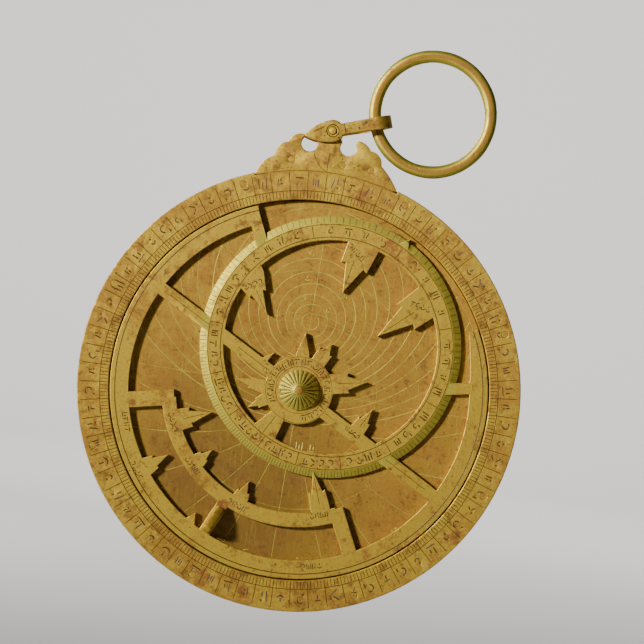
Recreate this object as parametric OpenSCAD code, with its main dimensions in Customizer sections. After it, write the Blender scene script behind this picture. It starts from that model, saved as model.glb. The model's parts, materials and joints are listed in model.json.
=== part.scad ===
// A brass astrolabe in its separate pieces, hanging upright from its throne.
// +Z is up, +X is to the right as seen from the front, and the face looks toward -Y.
// The origin is the middle of the hole in the throne from which the instrument hangs.

/* [Mater and limb] */
// Outside diameter of the limb
disc_d = 155; // [145:1:165]
// Width of the graduated limb
limb_w = 11; // [10:0.1:12]
// Thickness of the back plate
mater_t = 1.8; // [1.5:0.1:3]
// Thickness of the limb in front of the back plate
limb_t = 6.0; // [5.6:0.1:8]
// Number of rivets through the limb
limb_rivets_n = 8; // [4:1:12]
// Radius of a limb or throne rivet
rivet_r = 1.1; // [0.8:0.1:1.4]

/* [Throne] */
// Height of the hanging hole above the middle of the disc
pivot_h = 91.2; // [91:0.1:94]
// Radius of each round hole in the throne
eyelet_r = 2.9; // [2.4:0.1:3]

/* [Plates and star map] */
// Thickness of each latitude plate
tympan_t = 0.85; // [0.6:0.05:0.9]
// Thickness of the star map
rete_t = 2.0; // [1.4:0.1:2.1]
// Angle of the star map, clockwise from the throne
rete_turned = 28.8; // [-180:0.1:180]
// Radial clearance between the star map and the limb
rete_play = 0.45; // [0.3:0.05:1.2]
// Obliquity of the ecliptic used to lay out the star map
obliquity = 24; // [23:0.1:25]
// Width of the ecliptic ring
ecliptic_w = 8.4; // [7:0.1:9]
// Width of the star map's outer ring
outer_ring_w = 6.55; // [5:0.05:7]

/* [Pivot and alidade] */
// Radius of the pin at the middle
pin_r = 2.5; // [2:0.1:3]
// Radial clearance of the turning pieces on their pins
running_fit = 0.05; // [0.03:0.01:0.09]
// Radius of the fluted cap
cap_r = 7.1; // [6:0.1:8]
// Height of the fluted cap
cap_h = 6.2; // [5:0.1:7]
// Angle of the sighting rule on the back, from the horizontal
alidade_turned = 35; // [-60:1:60]
// Thickness of the sighting rule
rule_t = 2.0; // [1.6:0.1:2.6]
// Width of the sighting rule
rule_w = 10; // [8:0.5:12]
// Distance of each sight vane from the pin
vane_at = 46; // [42:1:56]
// Height of each sight vane above the rule
vane_h = 11; // [8:0.5:14]

/* [Suspension] */
// Distance from the throne's hole to the eye of the shackle
eye_at = 15.2; // [15:0.1:18]
// Angle of the shackle above the horizontal
shackle_turned = 17.2; // [15:0.1:90]
// Thickness of the shackle's strap
strap_t = 1.5; // [1.2:0.1:1.8]
// Radius of the shackle's pin
shackle_pin_r = 1.3; // [1.1:0.1:1.6]
// Mean radius of the suspension ring
ring_r = 20.3; // [19:0.1:22]
// Radius of the suspension ring's wire
wire_r = 2.3; // [1.8:0.1:2.5]

/* [Hidden] */
$fn = 96;
disc_r = disc_d / 2;
well_r = disc_r - limb_w;
total_t = mater_t + limb_t;
// Levels along Y, from the back to the front
back_y = total_t / 2;
floor_y = back_y - mater_t;
face_y = -total_t / 2;
tympans_n = 4;
tympan_y = floor_y - tympans_n * tympan_t;
rete_gap = 0.3;
rete_back_y = tympan_y - rete_gap;
rete_face_y = rete_back_y - rete_t;
rule_gap = 0.1;
rule_y = back_y + rule_gap;
washer_y = rule_y + rule_t + rule_gap;
washer_t = 0.8;
wedge_y = washer_y + washer_t + 0.05;
wedge_h = 3.2;
wedge_w = 1.8;
pin_end_y = wedge_y + wedge_h + 2.2;
plate_r = well_r - 0.25;
stud_r = 1.0;
stud_at = [0, -62.5];
// The star map's stars and bars are placed on a map of this radius, then fitted to the real one
map_r = 66.05;
rete_r = well_r - rete_play;
fit = rete_r / map_r;
capricorn_r = 64.3 * fit;
cancer_r = capricorn_r * pow(tan((90 - obliquity) / 2), 2);
ecliptic_r = (capricorn_r + cancer_r) / 2;
ecliptic_up = (capricorn_r - cancer_r) / 2;
bevel_w = 2.6;
bevel_h = 0.9;
hub_r = 12;
bore_r = pin_r + running_fit;
throne_foot_r = disc_r - 0.9;
throne_half_angle = 19;
jaw_gap = 0.3;
eye_r = total_t / 2 + jaw_gap;
stud_gap = 0.02;
peen_h = 0.4;

// Star pointers: middle of the root, tip, width of the root, and where the barbs stand along
// the pointer and how wide they are, as shares of its length and width. No barbs: share 0.
STARS = [
    [[-11.5, 53.9], [-7.9, 36.4], 11.3, 0.47, 0.88],
    [[17.8, 51.1], [10.9, 31.2], 11.8, 0.43, 0.92],
    [[-36.9, 21.7], [-24.4, 14.6], 10.4, 0.45, 0.62],
    [[-6.4, 11.2], [-9.9, 17.6], 4.7, 0, 0],
    [[-0.3, 11.6], [-0.2, 19.7], 5.4, 0.6, 1],
    [[8.3, 8.6], [17.7, 16.3], 7.1, 0.48, 1],
    [[-10.3, -6.2], [-20.8, -9.9], 5, 0.5, 0.8],
    [[-7.5, -9.4], [-10.9, -15.5], 4.5, 0.5, 0.8],
    [[24.8, 0.8], [24.8, 9.7], 5.6, 0.48, 0.85],
    [[-27.2, -32.7], [-19.8, -24.2], 7.6, 0.35, 0.91],
    [[-13.5, -40.1], [-12, -34.8], 5.3, 0.37, 0.74],
    [[5.8, -41.9], [4.8, -36], 5.6, 0.35, 0.8],
    [[30.2, -28.7], [20.6, -19.8], 6.9, 0.45, 0.85],
    [[-27.1, -53.1], [-23.4, -45.2], 6.7, 0.44, 0.72],
    [[-3.5, -60], [-3.7, -55.8], 4.4, 0, 0],
    [[0, 62.5], [0, 65.2], 3.4, 0, 0],
];
star_root = 2.8;
// Bars of the star map: angle clockwise from Capricorn, inner and outer radius, width
BARS = [
    [-50.5, 47, 63, 4.1],
    [53.3, 47.5, 63, 4.1],
    [-129.5, 43.5, 63, 5.6],
    [126.5, 43.5, 63, 5.2],
    [177.4, 46, 63, 4.2],
];
equinox_w = 4.6;
equinox_tilt = -1.1;
equinox_down = 0.9;
arc_band = [42.9, 48.0];
knob_at = [2.7, -54.2];
knob_l = 10.5;
knob_w = 2.6;
knob_h = 6.2;

// ---- helpers ----

// A point at radius r, at angle a clockwise from the top
function polar(r, a) = [r * sin(a), r * cos(a)];

// An arc from p to q that bulges to the left of the way from p to q by h
function bow(p, q, h, steps = 10) =
    let (half = norm(q - p) / 2,
         r = (half * half + h * h) / (2 * h),
         along = (q - p) / (2 * half),
         side = [-along.y, along.x],
         middle = (p + q) / 2 - side * (r - h),
         sweep = asin(half / r))
    [for (i = [0 : steps])
        let (a = -sweep + 2 * sweep * i / steps) middle + side * r * cos(a) + along * r * sin(a)];

// The disc's own middle lies below the origin
module on_disc() translate([0, 0, -pivot_h]) children();

// A flat piece between two levels along Y, from an outline drawn as seen from the front
module slab(from_y, to_y)
    translate([0, to_y, 0]) rotate([90, 0, 0]) linear_extrude(to_y - from_y) children();

// A round bar along Y
module rod(r, from_y, to_y, at = [0, 0])
    translate([at.x, to_y, at.y]) rotate([90, 0, 0]) cylinder(r = r, h = to_y - from_y);

// A turned piece with its axis along Y, whose profile is [radius, height toward the front]
module turned(level_y) translate([0, level_y, 0]) rotate([90, 0, 0]) rotate_extrude() children();

// The region between two angles clockwise from the top
module wedge_shape(a0, a1, r = 120)
    polygon(concat([[0, 0]], [for (i = [0 : 4]) polar(r, a0 + (a1 - a0) * i / 4)]));

module band(r_in, r_out) difference() {
    circle(r_out);
    circle(r_in);
}

// ---- mater ----

LEFT_LOBES = [[-24.95, 72.7], [-18.95, 80.3], [-14.95, 85.5], [-9.8, 88.9]];
RIGHT_LOBES = [[9.4, 88.9], [14.1, 85.9], [18.4, 81.2], [24.9, 73.0]];
EYELETS = [[-7.5, 86.0], [6.2, 86.1]];
THRONE_RIVETS = [[-13, 79.6], [4.8, 79.8], [15, 79.2]];
lug_r = 3.3;

// The crown's outline, with three lobes on each side
module throne_outline() polygon(concat(
    bow(LEFT_LOBES[0], LEFT_LOBES[1], 1.3),
    bow(LEFT_LOBES[1], LEFT_LOBES[2], 1.4),
    bow(LEFT_LOBES[2], LEFT_LOBES[3], 1.2),
    [[-7.6, 90], [-3, 90.8], [2.8, 90], [4, 87.4], [8.2, 87.4]],
    bow(RIGHT_LOBES[0], RIGHT_LOBES[1], 0.7),
    bow(RIGHT_LOBES[1], RIGHT_LOBES[2], 1.4),
    bow(RIGHT_LOBES[2], RIGHT_LOBES[3], 0.5)));

module throne_holes() {
    for (at = EYELETS) translate(at) circle(eyelet_r);
    // The right eyelet is broken open at its upper edge
    translate([4.4, 86.6]) square([4.3, 4]);
}

module throne_shape(foot_r) difference() {
    intersection() {
        throne_outline();
        wedge_shape(-throne_half_angle, throne_half_angle);
    }
    circle(foot_r);
    throne_holes();
}

// The crown between two levels, with the lug around the hanging hole
module crown(from_y, to_y, foot_r) {
    slab(from_y, to_y) throne_shape(foot_r);
    rod(lug_r, from_y, to_y, [0, pivot_h]);
}

module hanging_hole() rod(shackle_pin_r + running_fit, -back_y - 1, back_y + 1);

module limb_rivet_holes(from_y, to_y, r)
    for (i = [0 : limb_rivets_n - 1])
        rod(r, from_y, to_y, polar(disc_r - limb_w * 0.28, (i + 0.5) * 360 / limb_rivets_n));

module throne_rivet_holes(from_y, to_y, r) for (at = THRONE_RIVETS) rod(r, from_y, to_y, at);

module mater_plate() color("darkgoldenrod") difference() {
    on_disc() difference() {
        union() {
            rod(disc_r, floor_y, back_y);
            crown(floor_y, back_y, disc_r - 1);
        }
        rod(bore_r, floor_y - 1, back_y + 1);
        rod(stud_r, floor_y - 1, back_y + 1, stud_at);
        limb_rivet_holes(floor_y - 1, back_y + 1, rivet_r);
        throne_rivet_holes(floor_y - 1, back_y + 1, rivet_r);
    }
    hanging_hole();
}

module limb_ring() color("goldenrod") on_disc() difference() {
    slab(face_y, floor_y) difference() {
        band(well_r, disc_r);
        // The throne's foot is let into the limb's edge
        intersection() {
            band(throne_foot_r, disc_r + 1);
            wedge_shape(-throne_half_angle, throne_half_angle);
        }
    }
    limb_rivet_holes(face_y - 1, floor_y + 1, rivet_r);
}

module limb_rivets() color("peru") on_disc() limb_rivet_holes(face_y, back_y, rivet_r);

module throne() color("goldenrod") difference() {
    on_disc() difference() {
        crown(face_y, floor_y, throne_foot_r);
        throne_rivet_holes(face_y - 1, floor_y + 1, rivet_r);
    }
    hanging_hole();
}

module throne_rivets() color("peru") on_disc() throne_rivet_holes(face_y, back_y, rivet_r);

// A stud at the bottom of the well that keeps the latitude plates from turning
module locating_stud() color("peru") on_disc() rod(stud_r, tympan_y, back_y, stud_at);

// ---- latitude plates, number 1 in front ----

module tympan(number) on_disc() {
    front = tympan_y + (number - 1) * tympan_t;
    difference() {
        slab(front, front + tympan_t) circle(plate_r);
        rod(bore_r, front - 1, front + tympan_t + 1);
        rod(stud_r + stud_gap, front - 1, front + tympan_t + 1, stud_at);
    }
}

module tympan_1() color("darkkhaki") tympan(1);
module tympan_2() color("burlywood") tympan(2);
module tympan_3() color("darkkhaki") tympan(3);
module tympan_4() color("burlywood") tympan(4);

// ---- star map ----

module star_pointer(root, tip, width, barb_at, barb_share) {
    reach = norm(tip - root);
    half = width / 2;
    waist = 0.68;
    barbs = barb_at == 0 ? [] : [
        [barb_at * reach, barb_share * half],
        [(barb_at - 0.04) * reach, waist * barb_share * half],
    ];
    upper = concat([[-star_root, half], [0, half]], barbs, [[reach, 0]]);
    lower = [for (i = [len(upper) - 2 : -1 : 0]) [upper[i].x, -upper[i].y]];
    translate(root) rotate(atan2(tip.y - root.y, tip.x - root.x)) polygon(concat(upper, lower));
}

module rete_outer_ring() difference() {
    band(rete_r - outer_ring_w, rete_r);
    wedge_shape(-50.5 + 1.8, 35);
    // The end on the right thins to its tip
    polygon([[46.2, 38.0] * fit, [42.4, 43.3] * fit, [35.6, 51.9] * fit, [20, 40] * fit]);
}

module rete_outline() {
    rete_outer_ring();
    circle(hub_r);
    intersection() {
        band(arc_band[0] * fit, arc_band[1] * fit);
        union() {
            wedge_shape(126.5, 180);
            wedge_shape(180, 230.5);
        }
    }
    for (b = BARS) rotate(-b[0]) translate([-b[3] / 2, b[1] * fit]) square([b[3], (b[2] - b[1]) * fit]);
    // Counter-changed bar of the equinoxes, from side to side
    rotate(equinox_tilt) translate([-rete_r + 3, -equinox_w / 2 - equinox_down])
        square([2 * rete_r - 6, equinox_w]);
    // Flared foot from the hub to the ecliptic
    polygon([[-3, -10], [-5.8, -19.5], [3.6, -19.5], [1.8, -10]]);
    // Small hooked fin beside the hub
    polygon([[-17.4, 1], [-14.7, 5.3], [-14.7, 1]]);
    for (s = STARS) star_pointer(s[0] * fit, s[1] * fit, s[2], s[3], s[4]);
}

// The ecliptic ring, with the bevel of its graduated outer edge
module ecliptic_ring() translate([0, 0, ecliptic_up]) turned(rete_back_y) polygon([
    [ecliptic_r - ecliptic_w, 0],
    [ecliptic_r, 0],
    [ecliptic_r, rete_t - bevel_h],
    [ecliptic_r - bevel_w, rete_t],
    [ecliptic_r - ecliptic_w, rete_t],
]);

module rete() color("gold") on_disc() rotate([0, rete_turned, 0]) difference() {
    union() {
        slab(rete_face_y, rete_back_y) rete_outline();
        ecliptic_ring();
    }
    rod(bore_r, rete_face_y - 1, rete_back_y + 1);
}

// The ridge by which the star map is turned: a sloped fin on the bottom bar
module rete_knob() color("gold") on_disc() rotate([0, rete_turned, 0])
    translate([knob_at.x - knob_w / 2, rete_face_y, knob_at.y - knob_l / 2])
        rotate([90, 0, 90]) linear_extrude(knob_w)
            polygon([[0, 0], [-knob_h * 0.75, 0.6], [-knob_h, 2.2], [-knob_h * 0.55, knob_l * 0.7],
                     [-0.8, knob_l], [0, knob_l]]);

// ---- pivot ----

cap_y = rete_face_y - 0.1;
tip_r = 1.5;
cap_hollow = cap_h - 1.2;

module pivot_pin() color("peru") on_disc() difference() {
    union() {
        rod(pin_r, cap_y - cap_hollow, pin_end_y);
        rod(tip_r, cap_y - cap_h - 0.3, cap_y - cap_hollow + 1);
    }
    // Slot for the wedge
    translate([-pin_r - 1, wedge_y, -wedge_w / 2 - 0.05]) cube([2 * pin_r + 2, wedge_h, wedge_w + 0.1]);
}

module fluted_cap() color("khaki") on_disc() turned(cap_y) {
    lip = 0.7;
    polygon(concat(
        [[pin_r, 0], [cap_r, 0], [cap_r, lip]],
        [for (i = [1 : 15]) let (a = i * 5.2) [cap_r * cos(a), lip + (cap_h - lip) * sin(a)]],
        [[tip_r, cap_h], [tip_r, cap_hollow], [pin_r, cap_hollow]]));
}

module washer() color("goldenrod") on_disc() difference() {
    rod(5.6, washer_y, washer_y + washer_t);
    rod(pin_r, washer_y - 1, washer_y + washer_t + 1);
}

// The wedge tapers toward its tip, on the left, and ends in a curled head on the right
wedge_reach = [-10, 13];
module wedge() color("darkgoldenrod") on_disc()
    translate([0, 0, -wedge_w / 2]) linear_extrude(wedge_w) polygon(concat(
        [[wedge_reach[0], wedge_y], [wedge_reach[1], wedge_y]],
        [for (a = [-50 : 20 : 190]) [wedge_reach[1] - 2, wedge_y + 3.4] + 2.4 * [cos(a), sin(a)]],
        [[6.5, wedge_y + wedge_h - 0.1], [3.2, wedge_y + wedge_h - 0.1],
         [wedge_reach[0], wedge_y + 1.6]]));

// ---- alidade, on the back ----

module rule_outline() {
    circle(9.5);
    shoulder = vane_at + 6;
    tip = disc_r - 1.5;
    for (side = [1, -1]) scale([side, side]) polygon([
        [0, -rule_w / 2], [shoulder, -rule_w / 2], [shoulder + 2, -rule_w * 0.34],
        [tip, 0], [shoulder + 2, rule_w * 0.34], [shoulder, rule_w / 2], [0, rule_w / 2]]);
}

tenon_l = 5;
vane_t = 1.8;

module on_rule() on_disc() rotate([0, -alidade_turned, 0]) children();

module vane_tenon(side, play)
    translate([side * vane_at - vane_t / 2, rule_y, -tenon_l / 2] - [play, play, play])
        cube([vane_t, rule_t, tenon_l] + 2 * [play, play, play]);

module alidade_rule() color("goldenrod") on_rule() difference() {
    slab(rule_y, rule_y + rule_t) rule_outline();
    rod(bore_r, rule_y - 1, rule_y + rule_t + 1);
    for (side = [1, -1]) vane_tenon(side, 0.02);
}

// An upright sight with a pinhole near its foot and a wider hole above
module sight_vane(side) color("khaki") on_rule() {
    foot_y = rule_y + rule_t;
    vane_w = rule_w - 0.6;
    difference() {
        translate([side * vane_at - vane_t / 2, foot_y, 0]) rotate([90, 0, 90]) linear_extrude(vane_t)
            polygon(concat(
                [[0, -vane_w / 2], [vane_h * 0.5, -vane_w / 2], [vane_h * 0.6, -vane_w * 0.3]],
                [for (a = [-70 : 20 : 70]) [vane_h - 3, 0] + 3 * [cos(a), sin(a)]],
                [[vane_h * 0.6, vane_w * 0.3], [vane_h * 0.5, vane_w / 2], [0, vane_w / 2]]));
        for (hole = [[3, 0.6], [7.2, 1.1]])
            translate([side * vane_at - vane_t, foot_y + hole[0], 0]) rotate([0, 90, 0])
                cylinder(r = hole[1], h = 2 * vane_t);
    }
    vane_tenon(side, 0);
}

module sight_vane_east() sight_vane(1);
module sight_vane_west() sight_vane(-1);

// ---- suspension ----

head_r = 3.85;
head_l = 10.2;
neck_w = [3.8, 4.4];

module on_shackle() rotate([0, -shackle_turned, 0]) children();

// A leaf-shaped head around the pin, and the neck that runs out to the eye
module cheek_outline() {
    leaf_r = (head_l * head_l + head_r * head_r) / (2 * head_r);
    circle(head_r);
    intersection() {
        translate([0, leaf_r - head_r]) circle(leaf_r);
        translate([0, head_r - leaf_r]) circle(leaf_r);
        translate([-2 * head_l, -head_l]) square([2 * head_l, 2 * head_l]);
    }
    polygon([[0, -neck_w[0] / 2], [eye_at, -neck_w[1] / 2], [eye_at, neck_w[1] / 2], [0, neck_w[0] / 2]]);
}

module shackle() color("goldenrod") on_shackle() {
    difference() {
        union() {
            slab(-eye_r - strap_t, -eye_r) cheek_outline();
            slab(eye_r, eye_r + strap_t) cheek_outline();
        }
        rod(shackle_pin_r, -eye_r - strap_t - 1, eye_r + strap_t + 1);
    }
    translate([eye_at, 0, -neck_w[1] / 2]) rotate(-90) rotate_extrude(angle = 180)
        translate([eye_r, 0]) square([strap_t, neck_w[1]]);
}

module shackle_pin() color("peru") on_shackle()
    rod(shackle_pin_r, -eye_r - strap_t - peen_h, eye_r + strap_t + peen_h);

module suspension_ring() color("peru") on_shackle()
    translate([eye_at + ring_r, 0, 0]) rotate([90, 0, 0])
        rotate_extrude() translate([ring_r, 0]) circle(wire_r);

mater_plate();
limb_ring();
limb_rivets();
throne();
throne_rivets();
locating_stud();
tympan_1();
tympan_2();
tympan_3();
tympan_4();
rete();
rete_knob();
pivot_pin();
fluted_cap();
washer();
wedge();
alidade_rule();
sight_vane_east();
sight_vane_west();
shackle();
shackle_pin();
suspension_ring();
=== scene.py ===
"""A brass astrolabe: the finished pieces, their engraved scales and the studio around them."""

import json
import math
import random

import bmesh
import bpy
from bpy.props import FloatProperty, FloatVectorProperty, IntProperty, PointerProperty
from mathutils import Matrix, Vector

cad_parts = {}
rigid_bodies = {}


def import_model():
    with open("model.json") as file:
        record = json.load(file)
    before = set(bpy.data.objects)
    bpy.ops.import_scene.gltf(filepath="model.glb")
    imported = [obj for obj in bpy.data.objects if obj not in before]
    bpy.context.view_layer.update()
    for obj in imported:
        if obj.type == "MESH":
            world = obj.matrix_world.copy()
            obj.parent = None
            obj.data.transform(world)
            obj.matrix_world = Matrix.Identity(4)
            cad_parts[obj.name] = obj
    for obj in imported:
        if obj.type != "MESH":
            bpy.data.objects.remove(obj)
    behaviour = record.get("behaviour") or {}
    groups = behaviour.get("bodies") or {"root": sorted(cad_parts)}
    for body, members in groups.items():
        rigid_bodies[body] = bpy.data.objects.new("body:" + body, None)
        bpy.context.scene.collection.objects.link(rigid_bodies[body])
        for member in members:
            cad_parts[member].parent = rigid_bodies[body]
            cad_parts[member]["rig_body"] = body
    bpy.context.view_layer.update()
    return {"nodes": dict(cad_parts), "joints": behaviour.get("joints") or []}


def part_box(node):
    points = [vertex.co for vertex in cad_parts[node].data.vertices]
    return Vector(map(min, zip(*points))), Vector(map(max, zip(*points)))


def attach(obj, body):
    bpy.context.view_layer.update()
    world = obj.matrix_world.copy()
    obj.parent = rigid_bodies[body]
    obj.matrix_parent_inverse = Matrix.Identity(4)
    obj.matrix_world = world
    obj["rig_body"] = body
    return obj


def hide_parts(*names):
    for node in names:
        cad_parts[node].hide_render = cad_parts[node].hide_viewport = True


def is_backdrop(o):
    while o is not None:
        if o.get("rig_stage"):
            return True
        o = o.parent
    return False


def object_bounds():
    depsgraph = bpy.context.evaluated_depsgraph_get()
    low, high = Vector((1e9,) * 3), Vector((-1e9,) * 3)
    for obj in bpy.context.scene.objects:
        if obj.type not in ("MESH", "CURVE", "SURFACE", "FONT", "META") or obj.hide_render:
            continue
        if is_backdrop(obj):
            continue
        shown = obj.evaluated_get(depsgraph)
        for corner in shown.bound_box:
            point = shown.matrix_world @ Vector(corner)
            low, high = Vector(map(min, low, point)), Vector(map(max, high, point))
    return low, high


bl_info = {
    "name": "Brass astrolabe",
    "version": (1, 0, 0),
    "blender": (4, 5, 0),
    "location": "3D View > Sidebar > Astrolabe",
    "description": "Engraves and finishes the pieces of a brass astrolabe around its fixed frame",
    "category": "Object",
}

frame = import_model()

# ---- the frame's own sizes, in millimetres on the disc's face ----

MM = 0.001
FULL_TURN = 2 * math.pi
STRAIGHT_UP = math.radians(90)


def joint_place(name):
    """Where a joint of the frame stands."""
    return Vector(next(joint["pos_m"] for joint in frame["joints"] if joint["name"] == name))


def levels(node):
    """How far forward of the disc's middle plane a piece reaches: its back and its front."""
    low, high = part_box(node)
    return -high.y / MM, -low.y / MM


def half_width(node):
    low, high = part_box(node)
    return (high.x - low.x) / 2 / MM


WELL_R = half_width("tympan_1") + 0.25
MAP_R = half_width("rete")
LIMB_FACE = levels("limb_ring")[1]
PLATE_FACE = levels("tympan_1")[1]
MAP_FACE = levels("rete")[1]
BACK_FACE = -levels("mater_plate")[0]
RULE_FACE = -levels("alidade_rule")[0]

# ---- how the scales are laid out, in millimetres ----

LATITUDE = math.radians(30)
OBLIQUITY = math.radians(24)
# Radius of the tropic of Capricorn, which bounds the star map's sky
CAPRICORN_R = 64.3
EQUATOR_R = CAPRICORN_R * math.tan((STRAIGHT_UP - OBLIQUITY) / 2)
CANCER_R = EQUATOR_R * math.tan((STRAIGHT_UP - OBLIQUITY) / 2)
ECLIPTIC_R = (CAPRICORN_R + CANCER_R) / 2
ECLIPTIC_UP = (CAPRICORN_R - CANCER_R) / 2
ECLIPTIC_W = 8.4
ECLIPTIC_BEVEL_W = 2.6
ECLIPTIC_BEVEL_H = 0.9
HUB_R = 12.0
# The bar of the equinoxes dips below the pivot and slopes
EQUINOX_DOWN = 0.9
EQUINOX_SLOPE = 0.0192
# Where the ticks and cells of the degree scales end, on the limb and on the back
TICK_R = 69.6
CELL_R = 76.3
BACK_IN_R = 65.2
BACK_TICK_R = 68.6
BACK_CELL_R = 75.4
HOURS_IN_R = 54.0
# Length of the straight steps of a wide circle
CHORD = 1.2


def smoothstep(low, high, x):
    t = min(1.0, max(0.0, (x - low) / (high - low)))
    return t * t * (3 - 2 * t)


def polar(radius, angle, centre=(0.0, 0.0)):
    """A point at a radius and at an angle in degrees, clockwise from the top."""
    turn = math.radians(angle)
    return Vector((centre[0] + radius * math.sin(turn), centre[1] + radius * math.cos(turn)))


# ---- what a user would change ----


def angle_property(name, description, degrees):
    return FloatProperty(
        name=name, description=description, default=math.radians(degrees), subtype="ANGLE"
    )


def length_property(name, description, default, low, high):
    return FloatProperty(
        name=name, description=description, default=default, min=low, max=high, unit="LENGTH"
    )


class AstrolabeSizes(bpy.types.PropertyGroup):
    map_turned: angle_property(
        "Star map turned", "Angle of the star map at rest, clockwise from the throne", 28.8
    )
    plate_turned: angle_property(
        "Front plate turned", "Angle by which the front plate sits clockwise of true", 2
    )
    shackle_turned: angle_property(
        "Shackle turned", "Angle of the shackle at rest, above the horizontal", 17.2
    )
    rule_turned: angle_property(
        "Rule turned", "Angle of the sighting rule at rest, from the horizontal", 35
    )
    line_w: length_property(
        "Line width", "Width of an engraved line at the surface", 0.24 * MM, 0.1 * MM, 0.6 * MM
    )
    line_depth: length_property(
        "Line depth", "Depth of an engraved line", 0.13 * MM, 0.05 * MM, 0.3 * MM
    )
    edge_w: length_property(
        "Worn edge", "Width of the softened edge of a flat piece", 0.22 * MM, 0.05 * MM, 0.4 * MM
    )
    flutes: IntProperty(
        name="Flutes",
        description="Number of petals around the domed cap",
        default=24,
        min=12,
        max=36,
    )
    camera_distance: length_property(
        "Camera distance", "Distance from the camera to the face of the limb", 1.2, 0.5, 3.0
    )
    camera_width: length_property(
        "Framed width", "Width of what the camera frames at the face of the limb", 0.2248, 0.1, 0.6
    )
    camera_roll: angle_property(
        "Camera roll", "Angle by which the instrument leans clockwise in the frame", 7.5
    )


def colour_property(name, description, default):
    return FloatVectorProperty(
        name=name, description=description, default=default, size=3, min=0, max=1, subtype="COLOR"
    )


class AstrolabeColours(bpy.types.PropertyGroup):
    brass: colour_property("Brass", "Clean rubbed brass", (0.58, 0.40, 0.052))
    plate: colour_property("Plate brass", "Brass of the latitude plates", (0.46, 0.275, 0.044))
    tan: colour_property("Tan film", "Orange-brown film over old brass", (0.36, 0.185, 0.03))
    patina: colour_property("Patina", "Dark brown film in patches and specks", (0.13, 0.07, 0.024))
    # This dark colour is also painted shade in the corners and grooves of each piece
    grime_and_shade: colour_property("Grime", "Dirt in the corners and the engraved lines", (0.045, 0.026, 0.012))
    # On the front plate's engraved lines and on the cap this colour partly paints highlights
    cut: colour_property("Bright cut", "Freshly cleaned engraved lines", (0.68, 0.63, 0.13))
    # This pale colour paints highlights: on the zodiac's bevel and on the ring's front chamfers
    pale: colour_property("Pale brass", "Yellow of brass that is rubbed daily", (0.47, 0.41, 0.06))
    copper: colour_property("Copper stain", "Red-brown stains and rivets", (0.24, 0.082, 0.026))
    pin: colour_property("Pin", "Reddish brass of the central pin", (0.44, 0.235, 0.045))
    bronze: colour_property("Bronze", "Brown bronze of the suspension ring", (0.44, 0.225, 0.045))
    stage: colour_property("Stage", "Pale floor and backdrop", (0.43, 0.427, 0.42))


# ---- materials ----


class Value:
    """A socket of a material's nodes, so that shader maths reads as plain maths."""

    def __init__(self, shader, socket):
        self.shader = shader
        self.socket = socket

    def maths(self, operation, *values):
        return self.shader.node("ShaderNodeMath", {"operation": operation}, dict(enumerate(values)))

    def __add__(self, other):
        return self.maths("ADD", self, other)

    def __radd__(self, other):
        return self.maths("ADD", other, self)

    def __sub__(self, other):
        return self.maths("SUBTRACT", self, other)

    def __rsub__(self, other):
        return self.maths("SUBTRACT", other, self)

    def __mul__(self, other):
        return self.maths("MULTIPLY", self, other)

    def __rmul__(self, other):
        return self.maths("MULTIPLY", other, self)


class Shader:
    """One material and its nodes."""

    def __init__(self, name):
        self.material = bpy.data.materials.new(name)
        self.material.use_nodes = True
        self.tree = self.material.node_tree
        self.tree.nodes.clear()

    def node(self, kind, settings=None, sockets=None, output=0):
        """Adds a node: its settings first, then the values or links of its sockets."""
        made = self.tree.nodes.new(kind)
        for name, value in (settings or {}).items():
            setattr(made, name, value)
        for name, value in (sockets or {}).items():
            if isinstance(value, Value):
                self.tree.links.new(value.socket, made.inputs[name])
            else:
                made.inputs[name].default_value = value
        return Value(self, made.outputs[output] if len(made.outputs) else None)

    def place(self, scale=(1, 1, 1), turned=(0, 0, 0)):
        """Object coordinates, scaled and turned."""
        spot = self.node("ShaderNodeTexCoord", output="Object")
        return self.node("ShaderNodeMapping", {}, {"Vector": spot, "Scale": scale, "Rotation": turned})

    def noise(self, grain, detail=4.0, rough=0.55, vector=None):
        """Noise whose features are about grain metres across."""
        sockets = {"Vector": vector or self.place(), "Scale": 1 / grain}
        sockets.update({"Detail": detail, "Roughness": rough})
        return self.node("ShaderNodeTexNoise", {}, sockets)

    def between(self, value, low, high):
        """A smooth step from 0 to 1 as value goes from low to high."""
        sockets = {"Value": value, "From Min": low, "From Max": high}
        return self.node("ShaderNodeMapRange", {"interpolation_type": "SMOOTHSTEP"}, sockets)

    def distance(self, spot, centre):
        """How far a spot is from a centre, in metres."""
        return self.node("ShaderNodeVectorMath", {"operation": "DISTANCE"}, {0: spot, 1: centre}, "Value")

    def mix(self, share, first, second):
        """first where share is 0 and second where it is 1."""
        return self.node("ShaderNodeMix", {"data_type": "RGBA"}, {0: share, 6: first, 7: second}, 2)

    def nook(self, reach, inside=False):
        """Near 1 in the corners and grooves of a piece, or on its outer edges, and 0 in the open."""
        settings = {"only_local": True, "inside": inside, "samples": 6}
        open_share = self.node("ShaderNodeAmbientOcclusion", settings, {"Distance": reach}, "AO")
        return 1 - open_share

    def finish(self, sockets, height=None, height_reach=0.0001, strength=0.5):
        """Ends the material in a principled surface, with a bump from height."""
        if height is not None:
            bump = {"Height": height, "Distance": height_reach, "Strength": strength}
            sockets["Normal"] = self.node("ShaderNodeBump", {}, bump)
        surface = self.node("ShaderNodeBsdfPrincipled", {}, sockets)
        self.node("ShaderNodeOutputMaterial", {}, {"Surface": surface})
        return self.material


def rgb(name, shade=1.0):
    """A colour of the scene's settings, as the sockets take it."""
    colour = getattr(bpy.context.scene.astrolabe_colours, name)
    return (*(min(1.0, channel * shade) for channel in colour), 1.0)


def scratches(shader, turned, width=0.00012, length=0.012):
    """Fine straight scratches that run one way."""
    vector = shader.place((1 / width, 1 / width, 1 / length), (0, turned, 0))
    lines = shader.node("ShaderNodeTexNoise", {}, {"Vector": vector, "Scale": 1.0, "Detail": 2.0})
    return shader.between(lines, 0.62, 0.72)


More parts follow.
